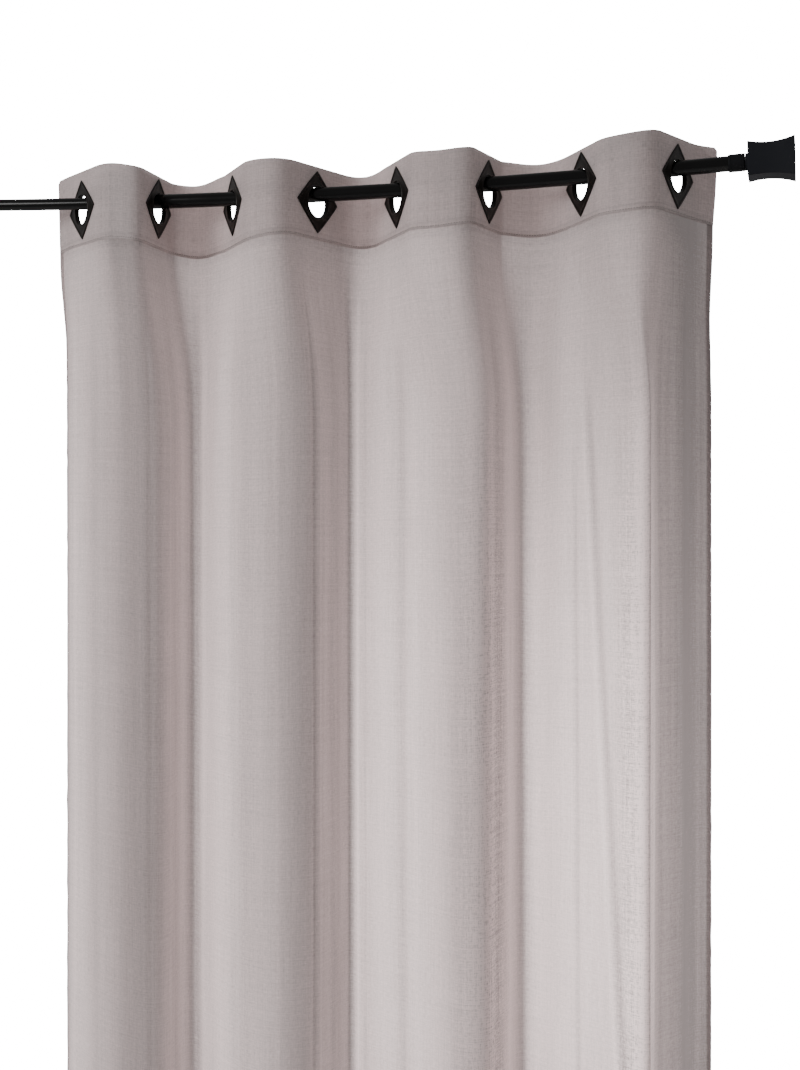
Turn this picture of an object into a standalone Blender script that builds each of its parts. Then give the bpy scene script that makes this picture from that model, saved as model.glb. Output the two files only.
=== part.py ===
"""Eyelet curtain: a semi-sheer panel with square metal eyelets on a telescopic rod.

Metres. The origin lies on the rod's axis above the middle of the curtain. +X runs along
the rod to the right, -Y faces the room and +Z is up.
"""
import math
from collections import namedtuple

import bmesh
import bpy
import numpy as np
from mathutils import Matrix, Vector

COLLECTION = "eyelet_curtain"
CUTTERS = "cutters"

# The cloth, flat
CLOTH_WIDTH = 1.40
CLOTH_DROP = 2.40
PANEL_THICKNESS = 0.0014
HEADING_THICKNESS = 0.0022
EYELET_PITCH = 0.179
LEFT_MARGIN = 0.069
RIGHT_MARGIN = CLOTH_WIDTH - 7 * EYELET_PITCH - LEFT_MARGIN
TOP_MARGIN = 0.048
STITCH_MARGIN = 0.050
GAP = 0.0003

# The rod, which sags between its brackets
ROD_SAG = 0.0127
SAG_SPAN = 1.10
OUTER_TUBE_RADIUS = 0.0095
INNER_TUBE_RADIUS = 0.0080
ROD_LEFT = -0.5600
ROD_RIGHT = 0.4645
JOINT_X = -0.3350
TUBE_LAP = 0.060
TUBE_STEP = 0.055
TUBE_SIDES = 20

# Collars and finials at the rod's ends
COLLAR_RADIUS = 0.0110
COLLAR_LENGTH = 0.0200
COLLAR_CHAMFER = 0.0008
NECK_RADIUS = 0.0106
NECK_LENGTH = 0.0035
FINIAL_LENGTH = 0.0562
FINIAL_INNER_HALF = 0.0213
FINIAL_WAIST_HALF = 0.0190
FINIAL_OUTER_HALF = 0.0238
FINIAL_WAIST_AT = 0.42
FINIAL_TILT = 0.4
FINIAL_GAP = 0.0005
FINIAL_STEPS = 8
ROUND_SIDES = 24

# Eyelets: a front plate with a collar through the cloth, and a back plate round the collar
PLATE_SIDE = 0.0575
PLATE_THICKNESS = 0.0016
PLATE_CHAMFER = 0.0008
BACK_PLATE_THICKNESS = 0.0012
HOLE_RADIUS = 0.0200
COLLAR_WALL = 0.0014
COLLAR_LIP = 0.0004
CLOTH_HOLE_RADIUS = 0.0220
BACK_HOLE_RADIUS = 0.0218
HOLE_SIDES = 24
REST_GAP = 0.0005

# One row for each eyelet, from left to right. x is its place along the rod and angle, in
# degrees, how far the cloth turns away from the rod there, each at the heading, in the body
# and at the hem. lean turns the plate in its own plane, in degrees. rise lifts the top edge
# and fall lowers the stitched edge at that eyelet.
FoldLine = namedtuple("FoldLine", "x angle body_x body_angle hem_x hem_angle lean rise fall")
FOLD_LINES = (
    FoldLine(-0.4013, 40.6, -0.3985, 39, -0.396, 45, 2.2, 0.0055, -0.0015),
    FoldLine(-0.2915, 89.7, -0.2700, 97, -0.270, 68, -0.7, -0.0030, 0.0035),
    FoldLine(-0.1818, 52.2, -0.1890, 36, -0.182, 48, 1.0, 0.0005, 0.0060),
    FoldLine(-0.0660, 68.4, -0.0500, 82, -0.054, 67, 0.8, -0.0010, -0.0010),
    FoldLine(0.0442, 53.1, 0.0585, 32, 0.050, 46, 1.3, 0.0000, 0.0010),
    FoldLine(0.1633, 77.6, 0.1820, 83, 0.182, 66, 1.3, 0.0000, -0.0020),
    FoldLine(0.2843, 54.4, 0.2840, 34, 0.276, 50, -0.9, -0.0030, -0.0010),
    FoldLine(0.4016, 67.9, 0.3985, 60, 0.408, 58, -0.4, 0.0010, -0.0030),
)

# One row for each fold between two eyelets: odd rows stand in front of the rod and even
# rows lie behind it. skew moves the tight turn to the fold's right (+) or left (-), at the
# heading, in the body and at the hem. body_flat is the length of the fold's flats in the
# body, and droop is how far the middle of the fold hangs lower.
Fold = namedtuple("Fold", "skew body_skew hem_skew body_flat droop")
FOLDS = (
    Fold(0.10, 0.08, 0.10, 0.014, -0.0020),
    Fold(0.50, 0.40, -0.10, 0.006, 0.0055),
    Fold(-0.10, 0.70, 0.20, 0.008, 0.0010),
    Fold(-0.60, -0.23, -0.30, 0.032, 0.0025),
    Fold(0.10, 0.43, 0.20, 0.032, 0.0030),
    Fold(-0.60, 0.10, -0.05, 0.012, 0.0040),
    Fold(0.10, 0.46, 0.15, 0.031, 0.0025),
)

# Each side edge: angle is its direction at the heading's stitched edge, in the body and at
# the hem, in degrees from the rod. opening is how far it turns outwards up to the top edge,
# margin is the cloth beyond the last eyelet, and droop is how far the corner hangs lower.
Edge = namedtuple("Edge", "angle body_angle hem_angle opening margin droop")
LEFT_EDGE = Edge(18, 53, 50, 12, LEFT_MARGIN, 0.0055)
RIGHT_EDGE = Edge(26, 54, 50, 50, RIGHT_MARGIN, 0.0060)

# Length of the flat to each side of a fold line, at heading, body and hem. In the body each
# fold has its own, and this one serves the side edges. The folds reach their body shape at
# one drop and the side edges at another, keep it down to the spread's drop, and open from
# there towards the hem.
FLAT_HALF = (0.041, 0.035, 0.018)
BODY_DROP = 0.34
EDGE_BODY_DROP = 0.23
SPREAD_DROP = 1.10

# Rows of the panel's grid, measured down from the heading's stitched edge
PANEL_ROWS = (0, 0.04, 0.09, 0.15, 0.22, 0.32, 0.48, 0.68, 0.90, 1.15, 1.40, 1.65, 1.90, 2.12)
FOLD_STEPS = 10
EDGE_STEPS = 3
PATH_STEPS = 48
EDGE_PATH_STEPS = 12
SOLVE_STEPS = 40

CLOTH = (0.50, 0.46, 0.455)
HEADING_CLOTH = (0.40, 0.365, 0.36)
EYELET_BLACK = (0.012, 0.011, 0.010)
ROD_BLACK = (0.010, 0.010, 0.010)
FINIAL_BLACK = (0.013, 0.014, 0.018)


def clear_scene():
    for obj in list(bpy.data.objects):
        bpy.data.objects.remove(obj, do_unlink=True)


def new_collection(name):
    collection = bpy.data.collections.new(name)
    bpy.context.scene.collection.children.link(collection)
    return collection


def material(name, colour, roughness, metallic):
    made = bpy.data.materials.new(name)
    made.use_nodes = True
    shader = made.node_tree.nodes["Principled BSDF"]
    shader.inputs["Base Color"].default_value = (*colour, 1.0)
    shader.inputs["Roughness"].default_value = roughness
    shader.inputs["Metallic"].default_value = metallic
    return made


def add_object(name, data, collection, finish=None, matrix=None):
    """Link an object for a mesh or curve, with its material and its place."""
    obj = bpy.data.objects.new(name, data)
    collection.objects.link(obj)
    if finish and not data.materials:
        data.materials.append(finish)
    if matrix:
        obj.matrix_world = matrix
    return obj


def add_cutter(name, mesh, cutters, matrix=None):
    """Link a helper body that is only cut from others or joined to them."""
    obj = add_object(name, mesh, cutters, matrix=matrix)
    obj.hide_render = True
    obj.display_type = "WIRE"
    return obj


def boolean(obj, other, operation):
    modifier = obj.modifiers.new(operation.title(), "BOOLEAN")
    modifier.operation = operation
    modifier.object = other


def applied_mesh(obj):
    """The object's evaluated mesh as a mesh of its own; the object is removed."""
    evaluated = obj.evaluated_get(bpy.context.evaluated_depsgraph_get())
    mesh = bpy.data.meshes.new_from_object(evaluated)
    bpy.data.objects.remove(obj, do_unlink=True)
    return mesh


def weld(mesh, distance=0.00002):
    bm = bmesh.new()
    bm.from_mesh(mesh)
    bmesh.ops.remove_doubles(bm, verts=bm.verts, dist=distance)
    bm.to_mesh(mesh)
    bm.free()


def shade_round(mesh):
    mesh.shade_smooth()
    mesh.set_sharp_from_angle(angle=math.radians(35))


def cylinder_mesh(name, radius, y_front, y_back):
    """A solid cylinder along Y between two depths, with a corner at its top."""
    bm = bmesh.new()
    middle = Matrix.Translation((0, (y_front + y_back) / 2, 0))
    bmesh.ops.create_cone(
        bm, cap_ends=True, segments=HOLE_SIDES, radius1=radius, radius2=radius,
        depth=y_back - y_front, matrix=middle @ Matrix.Rotation(math.radians(90), 4, "X"),
    )
    mesh = bpy.data.meshes.new(name)
    bm.to_mesh(mesh)
    bm.free()
    return mesh


def turned_mesh(name, profile, sides, collection):
    """Turn a profile about Z. Its points are (radius, height), listed top to bottom."""
    bm = bmesh.new()
    points = [bm.verts.new((radius, 0, height)) for radius, height in profile]
    closing = [] if profile[0][0] == 0 else [(points[-1], points[0])]
    for first, second in list(zip(points, points[1:])) + closing:
        bm.edges.new((first, second))
    mesh = bpy.data.meshes.new(name)
    bm.to_mesh(mesh)
    bm.free()
    obj = add_object(name, mesh, collection)
    screw = obj.modifiers.new("Turn", "SCREW")
    screw.axis = "Z"
    screw.steps = sides
    screw.render_steps = sides
    screw.use_merge_vertices = True
    screw.merge_threshold = 0.00002
    return applied_mesh(obj)


def rod_height(x):
    """Height of the rod's axis at x: a shallow parabola, lowest at the middle."""
    return ROD_SAG * (2 * x / SAG_SPAN) ** 2


def rod_frame(x, outward, tilt=1.0):
    """Frame on the rod's axis at x, its Z outwards along the rod. tilt eases the rod's slope."""
    slope = tilt * 8 * ROD_SAG * x / SAG_SPAN ** 2
    along = Vector((1, 0, slope)).normalized() * outward
    side = Vector((0, 1, 0))
    across = side.cross(along)
    turn = Matrix((across, side, along)).transposed().to_4x4()
    return Matrix.Translation((x, 0, rod_height(x))) @ turn


def tube_mesh(name, x_left, x_right, radius, collection):
    """A round bar that follows the rod's sag between two places."""
    count = max(3, round((x_right - x_left) / TUBE_STEP) + 1)
    curve = bpy.data.curves.new(name, "CURVE")
    curve.dimensions = "3D"
    curve.bevel_depth = radius
    curve.bevel_resolution = TUBE_SIDES // 2 - 2
    curve.use_fill_caps = True
    spline = curve.splines.new("POLY")
    spline.points.add(count - 1)
    for point, x in zip(spline.points, np.linspace(x_left, x_right, count)):
        point.co = (x, 0, rod_height(x), 1)
    mesh = applied_mesh(add_object(name, curve, collection))
    weld(mesh)
    shade_round(mesh)
    return mesh


def add_rod(collection, cutters, finish):
    """The thick tube on the right and the thin one that slides into its left end."""
    outer = tube_mesh("rod_outer_tube", JOINT_X, ROD_RIGHT + COLLAR_LENGTH, OUTER_TUBE_RADIUS, collection)
    outer = add_object("rod_outer_tube", outer, collection, finish)
    bore_end = JOINT_X + TUBE_LAP
    bore = tube_mesh("rod_bore", JOINT_X - 0.02, bore_end, INNER_TUBE_RADIUS + GAP, collection)
    boolean(outer, add_cutter("rod_bore", bore, cutters), "DIFFERENCE")
    inner_left = ROD_LEFT - COLLAR_LENGTH
    inner = tube_mesh("rod_inner_tube", inner_left, bore_end - GAP, INNER_TUBE_RADIUS, collection)
    add_object("rod_inner_tube", inner, collection, finish)


def add_collar(name, x, outward, tube_radius, collection, finish):
    """A ring over the tube's end, from x outwards, with chamfered rims."""
    bore = tube_radius + GAP
    rim = COLLAR_RADIUS - COLLAR_CHAMFER
    profile = (
        (bore, COLLAR_LENGTH), (rim, COLLAR_LENGTH),
        (COLLAR_RADIUS, COLLAR_LENGTH - COLLAR_CHAMFER),
        (COLLAR_RADIUS, COLLAR_CHAMFER), (rim, 0), (bore, 0),
    )
    mesh = turned_mesh(name, profile, ROUND_SIDES, collection)
    shade_round(mesh)
    add_object(name, mesh, collection, finish, rod_frame(x, outward))


def finial_half(t):
    """Half-height of the finial at t of its length: a waist between two flared ends."""
    if t < FINIAL_WAIST_AT:
        rest = 1 - t / FINIAL_WAIST_AT
        return FINIAL_WAIST_HALF + (FINIAL_INNER_HALF - FINIAL_WAIST_HALF) * rest ** 2
    rest = (t - FINIAL_WAIST_AT) / (1 - FINIAL_WAIST_AT)
    return FINIAL_WAIST_HALF + (FINIAL_OUTER_HALF - FINIAL_WAIST_HALF) * rest ** 2


def add_finial(name, x, outward, collection, cutters, finish):
    """A square block with hollow sides, turned in four steps, on a short round neck."""
    steps = [1 - i / FINIAL_STEPS for i in range(FINIAL_STEPS + 1)]
    corners = [(finial_half(t) * math.sqrt(2), NECK_LENGTH + t * FINIAL_LENGTH) for t in steps]
    profile = [(0, NECK_LENGTH + FINIAL_LENGTH), *corners, (0, NECK_LENGTH)]
    place = rod_frame(x, outward, FINIAL_TILT) @ Matrix.Rotation(math.radians(45), 4, "Z")
    block = turned_mesh(name, profile, 4, collection)
    finial = add_object(name, block, collection, finish, place)
    neck_profile = (
        (0, NECK_LENGTH * 2), (NECK_RADIUS, NECK_LENGTH * 2), (NECK_RADIUS, FINIAL_GAP),
        (0, FINIAL_GAP),
    )
    neck = turned_mesh(name + "_neck", neck_profile, ROUND_SIDES, collection)
    boolean(finial, add_cutter(name + "_neck", neck, cutters, place), "UNION")


def level_mix(values, drop, body_drop=BODY_DROP):
    """A value at a drop below the top edge, from its values at heading, body and hem."""
    heading, body, hem = values
    heading_depth = TOP_MARGIN + STITCH_MARGIN
    to_body = np.clip((drop - heading_depth) / (body_drop - heading_depth), 0, 1)
    to_hem = np.clip((drop - SPREAD_DROP) / (CLOTH_DROP - SPREAD_DROP), 0, 1)
    ease_body = to_body * to_body * (3 - 2 * to_body)
    ease_hem = to_hem * to_hem * (3 - 2 * to_hem)
    return heading + (body - heading) * ease_body + (hem - body) * ease_hem


def path_lengths(points):
    """Cloth length from the first point to each point of a path."""
    steps = np.sqrt((np.diff(points, axis=0) ** 2).sum(axis=1))
    return np.concatenate(([0], np.cumsum(steps)))


def at_lengths(points, wanted):
    """Points of a path at the wanted cloth lengths."""
    lengths = path_lengths(points)
    scaled = np.asarray(wanted) * lengths[-1] / wanted[-1]
    return np.column_stack([np.interp(scaled, lengths, points[:, k]) for k in (0, 1)])


def fold_path(start, start_way, end, end_way, cloth, skew):
    """A cubic curve between two flats, its handles lengthened until it takes up the cloth."""
    t = np.linspace(0, 1, PATH_STEPS + 1)[:, None]
    short = 0.0
    long = 3 * cloth
    for _ in range(SOLVE_STEPS):
        handle = (short + long) / 2
        first = start + start_way * handle * (1 + skew)
        second = end - end_way * handle * (1 - skew)
        points = (
            (1 - t) ** 3 * start + 3 * (1 - t) ** 2 * t * first
            + 3 * (1 - t) * t ** 2 * second + t ** 3 * end
        )
        if path_lengths(points)[-1] < cloth:
            short = handle
        else:
            long = handle
    return points


def edge_path(start, way_angle, edge_angle, cloth):
    """The free margin beyond a flat, turning steadily from one direction to another."""
    middles = (np.arange(EDGE_PATH_STEPS) + 0.5) / EDGE_PATH_STEPS
    angles = way_angle + (edge_angle - way_angle) * middles
    steps = np.column_stack([np.cos(angles), np.sin(angles)]) * cloth / EDGE_PATH_STEPS
    return np.concatenate([[start], start + np.cumsum(steps, axis=0)])


def fold_stations():
    """Cloth lengths of the grid's columns across one pitch, with the plate's flats kept."""
    flat = FLAT_HALF[0]
    return np.concatenate([[0], np.linspace(flat, EYELET_PITCH - flat, FOLD_STEPS + 1), [EYELET_PITCH]])


def margin_stations(margin):
    """Cloth lengths of the grid's columns from a fold line out to the side edge."""
    return np.concatenate([[0], np.linspace(FLAT_HALF[0], margin, EDGE_STEPS + 1)])


def plan_row(drop):
    """Plan of the cloth at one drop: a row of (x, y) points from the left edge to the right.

    The cloth is flat at each fold line. Between two of them it runs along the fold's curve.
    """
    flat = level_mix(FLAT_HALF, drop)
    places = []
    ways = []
    for index, line in enumerate(FOLD_LINES):
        x = level_mix((line.x, line.body_x, line.hem_x), drop)
        angle = math.radians(level_mix((line.angle, line.body_angle, line.hem_angle), drop))
        forward = -1 if index % 2 == 0 else 1
        places.append(np.array([x, 0.0]))
        ways.append(np.array([math.cos(angle), forward * math.sin(angle)]))

    def margin(end, side, edge):
        """The margin at a side edge, from the fold line outwards; side is -1 at the left."""
        way = ways[end] * side
        angle = level_mix((edge.angle, edge.body_angle, edge.hem_angle), drop, EDGE_BODY_DROP)
        angle -= edge.opening * max(0, 1 - drop / (TOP_MARGIN + STITCH_MARGIN))
        outwards = math.radians(angle if side > 0 else 180 - angle)
        flat_end = places[end] + way * flat
        path = edge_path(flat_end, math.atan2(way[1], way[0]), outwards, edge.margin - flat)
        return at_lengths(np.concatenate([[places[end]], path]), margin_stations(edge.margin))

    row = [margin(0, -1, LEFT_EDGE)[:0:-1]]
    for index, fold in enumerate(FOLDS):
        fold_flat = level_mix((FLAT_HALF[0], fold.body_flat, FLAT_HALF[2]), drop)
        start = places[index] + ways[index] * fold_flat
        end = places[index + 1] - ways[index + 1] * fold_flat
        skew = level_mix((fold.skew, fold.body_skew, fold.hem_skew), drop)
        free_cloth = EYELET_PITCH - 2 * fold_flat
        path = fold_path(start, ways[index], end, ways[index + 1], free_cloth, skew)
        whole = np.concatenate([[places[index]], path, [places[index + 1]]])
        row.append(at_lengths(whole, fold_stations())[:-1])
    row.append(margin(len(FOLD_LINES) - 1, 1, RIGHT_EDGE))
    return np.concatenate(row)


def collar_reach():
    """Depths of the eyelet collar's front and back ends, from the middle of the heading."""
    face = HEADING_THICKNESS / 2 + GAP
    return -face - PLATE_THICKNESS - COLLAR_LIP, face + BACK_PLATE_THICKNESS + COLLAR_LIP


def hang(angle, tube_radius):
    """How far an eyelet's centre hangs below the rod's axis, where its hole rests on the rod."""
    turn = math.radians(angle)
    depths = np.linspace(*collar_reach(), 25)
    depth, round_angle = np.meshgrid(depths, np.radians(np.linspace(-80, 80, 81)))
    sideways = HOLE_RADIUS * np.sin(round_angle)
    upward = HOLE_RADIUS * np.cos(round_angle)
    from_rod = depth * math.cos(turn) + sideways * math.sin(turn)
    clear = tube_radius + REST_GAP
    over_rod = np.abs(from_rod) < clear
    rod_top = np.sqrt(np.maximum(clear ** 2 - from_rod ** 2, 0))
    return float(np.min(np.where(over_rod, upward - rod_top, HOLE_RADIUS)))


def eyelet_hangs():
    """Hang of each eyelet; only the first is on the thin tube."""
    radii = [INNER_TUBE_RADIUS if line.x < JOINT_X else OUTER_TUBE_RADIUS for line in FOLD_LINES]
    return [hang(line.angle, radius) for line, radius in zip(FOLD_LINES, radii)]


def edge_heights():
    """Heights of the heading's top edge and stitched edge at each column of the cloth.

    Between two eyelets each offset eases from one to the next over the free cloth, and the
    droop swells and dies away with the square of a sine.
    """
    hangs = eyelet_hangs()
    flat = FLAT_HALF[0]

    def margin_rows(line, eyelet_hang, edge):
        """Rows of (level, rise, fall) from a fold line out to the side edge."""
        free = np.clip((margin_stations(edge.margin) - flat) / (edge.margin - flat), 0, 1)
        level = -eyelet_hang - edge.droop * free ** 2
        return np.column_stack([level, np.full_like(free, line.rise), np.full_like(free, line.fall)])

    rows = [margin_rows(FOLD_LINES[0], hangs[0], LEFT_EDGE)[:0:-1]]
    for index, fold in enumerate(FOLDS):
        first = FOLD_LINES[index]
        second = FOLD_LINES[index + 1]
        free = np.clip((fold_stations()[:-1] - flat) / (EYELET_PITCH - 2 * flat), 0, 1)[:, None]
        ease = free * free * (3 - 2 * free)
        left = np.array([-hangs[index], first.rise, first.fall])
        right = np.array([-hangs[index + 1], second.rise, second.fall])
        droop = np.array([fold.droop, 0, 0]) * np.sin(math.pi * free) ** 2
        rows.append(left + (right - left) * ease - droop)
    rows.append(margin_rows(FOLD_LINES[-1], hangs[-1], RIGHT_EDGE))
    level, rise, fall = np.concatenate(rows).T
    base = level + rod_height(plan_row(0)[:, 0])
    return base + TOP_MARGIN + rise, base - STITCH_MARGIN - fall


def cloth_object(name, grid, thickness, collection, finish):
    """A sheet through a grid of points, rows by columns by (x, y, z), given its thickness."""
    rows, columns = grid.shape[:2]
    bm = bmesh.new()
    bmesh.ops.create_grid(bm, x_segments=columns - 1, y_segments=rows - 1, size=1)
    for vertex, point in zip(bm.verts, grid.reshape(-1, 3)):
        vertex.co = point
    mesh = bpy.data.meshes.new(name)
    bm.to_mesh(mesh)
    bm.free()
    mesh.shade_smooth()
    obj = add_object(name, mesh, collection, finish)
    solidify = obj.modifiers.new("Cloth", "SOLIDIFY")
    solidify.thickness = thickness
    solidify.offset = 0
    solidify.use_even_offset = True
    return obj


def eyelet_frame(line, eyelet_hang, index):
    """Frame of an eyelet: X along the cloth, Y towards its back, turned in plane by its lean."""
    forward = -1 if index % 2 == 0 else 1
    place = Matrix.Translation((line.x, 0, rod_height(line.x) - eyelet_hang))
    facing = Matrix.Rotation(math.radians(forward * line.angle), 4, "Z")
    return place @ facing @ Matrix.Rotation(math.radians(-line.lean), 4, "Y")


def add_heading(top, stitch, eyelet_places, collection, cutters, finish):
    """The stiff doubled strip along the top, with a round hole at each eyelet."""
    heading_depth = TOP_MARGIN + STITCH_MARGIN
    levels = ((0, top), (heading_depth / 2, (top + stitch) / 2), (heading_depth, stitch))
    grid = np.stack([np.column_stack([plan_row(drop), height]) for drop, height in levels])
    heading = cloth_object("heading", grid, HEADING_THICKNESS, collection, finish)
    reach = 3 * HEADING_THICKNESS
    for number, place in enumerate(eyelet_places, 1):
        hole = cylinder_mesh(f"heading_hole_{number}", CLOTH_HOLE_RADIUS, -reach, reach)
        boolean(heading, add_cutter(f"heading_hole_{number}", hole, cutters, place), "DIFFERENCE")


def add_panel(stitch, collection, finish):
    """The single cloth below the heading, in folds that soften towards its hem."""
    heading_depth = TOP_MARGIN + STITCH_MARGIN
    length = CLOTH_DROP - heading_depth
    rows = []
    for down in (*PANEL_ROWS, length):
        rows.append(np.column_stack([plan_row(heading_depth + down), stitch - GAP - down]))
    cloth_object("panel", np.stack(rows), PANEL_THICKNESS, collection, finish)


def plate_object(name, y_front, thickness, outer_y, collection):
    """A square plate standing on a corner; the edges of its outer face are chamfered."""
    bm = bmesh.new()
    bmesh.ops.create_cube(bm, size=1)
    bmesh.ops.scale(bm, vec=(PLATE_SIDE, thickness, PLATE_SIDE), verts=bm.verts)
    bmesh.ops.rotate(bm, cent=(0, 0, 0), matrix=Matrix.Rotation(math.radians(45), 3, "Y"), verts=bm.verts)
    bmesh.ops.translate(bm, vec=(0, y_front + thickness / 2, 0), verts=bm.verts)
    weight = bm.edges.layers.float.new("bevel_weight_edge")
    for edge in bm.edges:
        edge[weight] = float(all(abs(vert.co.y - outer_y) < GAP for vert in edge.verts))
    mesh = bpy.data.meshes.new(name)
    bm.to_mesh(mesh)
    bm.free()
    obj = add_object(name, mesh, collection)
    bevel = obj.modifiers.new("Chamfer", "BEVEL")
    bevel.limit_method = "WEIGHT"
    bevel.width = PLATE_CHAMFER
    bevel.segments = 1
    return obj


def add_eyelets(eyelet_places, collection, cutters, finish):
    """Front and back halves of every eyelet; the copies share two meshes."""
    face = HEADING_THICKNESS / 2 + GAP
    front_y = -face - PLATE_THICKNESS
    back_y = face + BACK_PLATE_THICKNESS
    collar = cylinder_mesh("eyelet_collar", HOLE_RADIUS + COLLAR_WALL, *collar_reach())
    bore = cylinder_mesh("eyelet_bore", HOLE_RADIUS, 2 * front_y, 2 * back_y)
    back_bore = cylinder_mesh("eyelet_back_bore", BACK_HOLE_RADIUS, 2 * front_y, 2 * back_y)

    front = plate_object("eyelet_front", front_y, PLATE_THICKNESS, front_y, collection)
    boolean(front, add_cutter("eyelet_collar", collar, cutters), "UNION")
    boolean(front, add_cutter("eyelet_bore", bore, cutters), "DIFFERENCE")
    front_mesh = applied_mesh(front)
    back = plate_object("eyelet_back", face, BACK_PLATE_THICKNESS, back_y, collection)
    boolean(back, add_cutter("eyelet_back_bore", back_bore, cutters), "DIFFERENCE")
    back_mesh = applied_mesh(back)
    for mesh in (front_mesh, back_mesh):
        shade_round(mesh)
    for number, place in enumerate(eyelet_places, 1):
        add_object(f"eyelet_front_{number}", front_mesh, collection, finish, place)
        add_object(f"eyelet_back_{number}", back_mesh, collection, finish, place)


def build():
    clear_scene()
    collection = new_collection(COLLECTION)
    cutters = new_collection(CUTTERS)
    rod_finish = material("rod_black", ROD_BLACK, 0.25, 0.6)
    finial_finish = material("finial_black", FINIAL_BLACK, 0.7, 0.0)
    eyelet_finish = material("eyelet_black", EYELET_BLACK, 0.35, 0.8)
    heading_finish = material("heading_cloth", HEADING_CLOTH, 0.9, 0.0)
    panel_finish = material("panel_cloth", CLOTH, 0.9, 0.0)

    add_rod(collection, cutters, rod_finish)
    ends = (("right", ROD_RIGHT, 1, OUTER_TUBE_RADIUS), ("left", ROD_LEFT, -1, INNER_TUBE_RADIUS))
    for side, x, outward, tube_radius in ends:
        add_collar(f"collar_{side}", x, outward, tube_radius, collection, rod_finish)
        tip = x + outward * COLLAR_LENGTH
        add_finial(f"finial_{side}", tip, outward, collection, cutters, finial_finish)

    hangs = eyelet_hangs()
    places = [eyelet_frame(line, hangs[i], i) for i, line in enumerate(FOLD_LINES)]
    top, stitch = edge_heights()
    add_heading(top, stitch, places, collection, cutters, heading_finish)
    add_panel(stitch, collection, panel_finish)
    add_eyelets(places, collection, cutters, eyelet_finish)


build()
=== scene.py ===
import math
from collections import namedtuple

import bmesh
import bpy
import numpy as np
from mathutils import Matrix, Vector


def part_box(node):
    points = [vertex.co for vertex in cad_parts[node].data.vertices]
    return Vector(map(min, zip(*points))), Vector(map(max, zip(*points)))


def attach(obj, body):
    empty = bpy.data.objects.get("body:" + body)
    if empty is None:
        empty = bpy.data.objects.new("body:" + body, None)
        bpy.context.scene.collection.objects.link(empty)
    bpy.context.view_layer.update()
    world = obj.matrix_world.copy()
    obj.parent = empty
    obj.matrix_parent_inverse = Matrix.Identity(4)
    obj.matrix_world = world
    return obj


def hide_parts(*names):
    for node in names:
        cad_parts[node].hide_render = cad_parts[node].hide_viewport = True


# A semi-sheer eyelet curtain on a telescopic rod. Metres, in the solids' own frame: the
# origin lies on the rod's axis above the middle of the curtain, +X runs along the rod to
# the right, -Y faces the room and +Z is up. "Across" is a length along the cloth from its
# left side edge, and "drop" is a length down the cloth from its top edge.

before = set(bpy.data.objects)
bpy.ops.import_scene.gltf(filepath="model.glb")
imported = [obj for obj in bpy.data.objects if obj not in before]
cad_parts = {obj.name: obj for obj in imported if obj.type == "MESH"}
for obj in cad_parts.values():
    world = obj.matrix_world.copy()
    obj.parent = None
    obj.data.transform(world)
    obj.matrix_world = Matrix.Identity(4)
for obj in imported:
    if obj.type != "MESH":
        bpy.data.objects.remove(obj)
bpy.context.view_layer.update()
tau = 2 * math.pi

# Sizes

CLOTH_WIDTH = 1.40
CLOTH_DROP = 2.40
EYELET_PITCH = 0.179
LEFT_MARGIN = 0.069
RIGHT_MARGIN = CLOTH_WIDTH - 7 * EYELET_PITCH - LEFT_MARGIN
TOP_MARGIN = 0.048
STITCH_MARGIN = 0.050
HEADING_DROP = TOP_MARGIN + STITCH_MARGIN
SIDE_HEM = 0.008
BOTTOM_HEM = 0.080
HEM_GAP = 0.0008
TUCK = 0.004

HEADING_THICKNESS = 0.0022
HALF_HEADING = HEADING_THICKNESS / 2
SOLID_GAP = 0.0003

ROD_SAG = 0.0127
SAG_SPAN = 1.10
OUTER_TUBE_RADIUS = 0.0095
INNER_TUBE_RADIUS = 0.0080
ROD_LEFT = -0.5600
ROD_RIGHT = 0.4645
JOINT_X = -0.3350
TUBE_LAP = 0.060
COLLAR_RADIUS = 0.0110
COLLAR_LENGTH = 0.0200
NECK_RADIUS = 0.0106
NECK_LENGTH = 0.0035
FINIAL_LENGTH = 0.0562
FINIAL_INNER_HALF = 0.0213
FINIAL_WAIST_HALF = 0.0190
FINIAL_OUTER_HALF = 0.0238
FINIAL_WAIST_AT = 0.42
FINIAL_TILT = 0.4
FINIAL_GAP = 0.0005

PLATE_CORNER = 0.0575 / math.sqrt(2)
PLATE_THICKNESS = 0.0016
BACK_PLATE_THICKNESS = 0.0012
HOLE_RADIUS = 0.0200
COLLAR_WALL = 0.0014
COLLAR_LIP = 0.0004
BACK_HOLE_RADIUS = 0.0218
CLOTH_HOLE_RADIUS = 0.0224

# Fine shapes that the solids don't have
SIDE_ROUNDING = 0.003
CORNER_RADIUS = 0.004
CORNER_FADE = 0.020
SEAM_INSET = 0.003
SEAM_BREADTH = 0.0035
SEAM_PINCH = 0.45
HOLE_SNAP = 0.0036
TURN_BACK = 0.0003
BOTTOM_HEM_GAP = 0.00192
PINCHED_HALF = HALF_HEADING * 0.62
STITCH_LIFT = 0.0001
STITCH_INSET = 0.004
STITCH_ENDS = 0.006
Stitch = namedtuple("Stitch", "pitch length radius")
HEADING_STITCH = Stitch(0.0034, 0.0030, 0.00038)
BOTTOM_STITCH = Stitch(0.0036, 0.0026, 0.0002)
SIDE_STITCH = Stitch(0.0040, 0.0028, 0.0002)
SIDE_SEAMS = (("left", SIDE_HEM - 0.002), ("right", CLOTH_WIDTH - SIDE_HEM + 0.001))
PLATE_POWER = 1.05
FINIAL_POWER = 30.0
FINIAL_EASE = 0.0005
FINIAL_CHAMFER = 0.00015
FINIAL_FACE_RING = 0.0150
FINIAL_FACE_CENTRE = 0.0060

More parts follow.
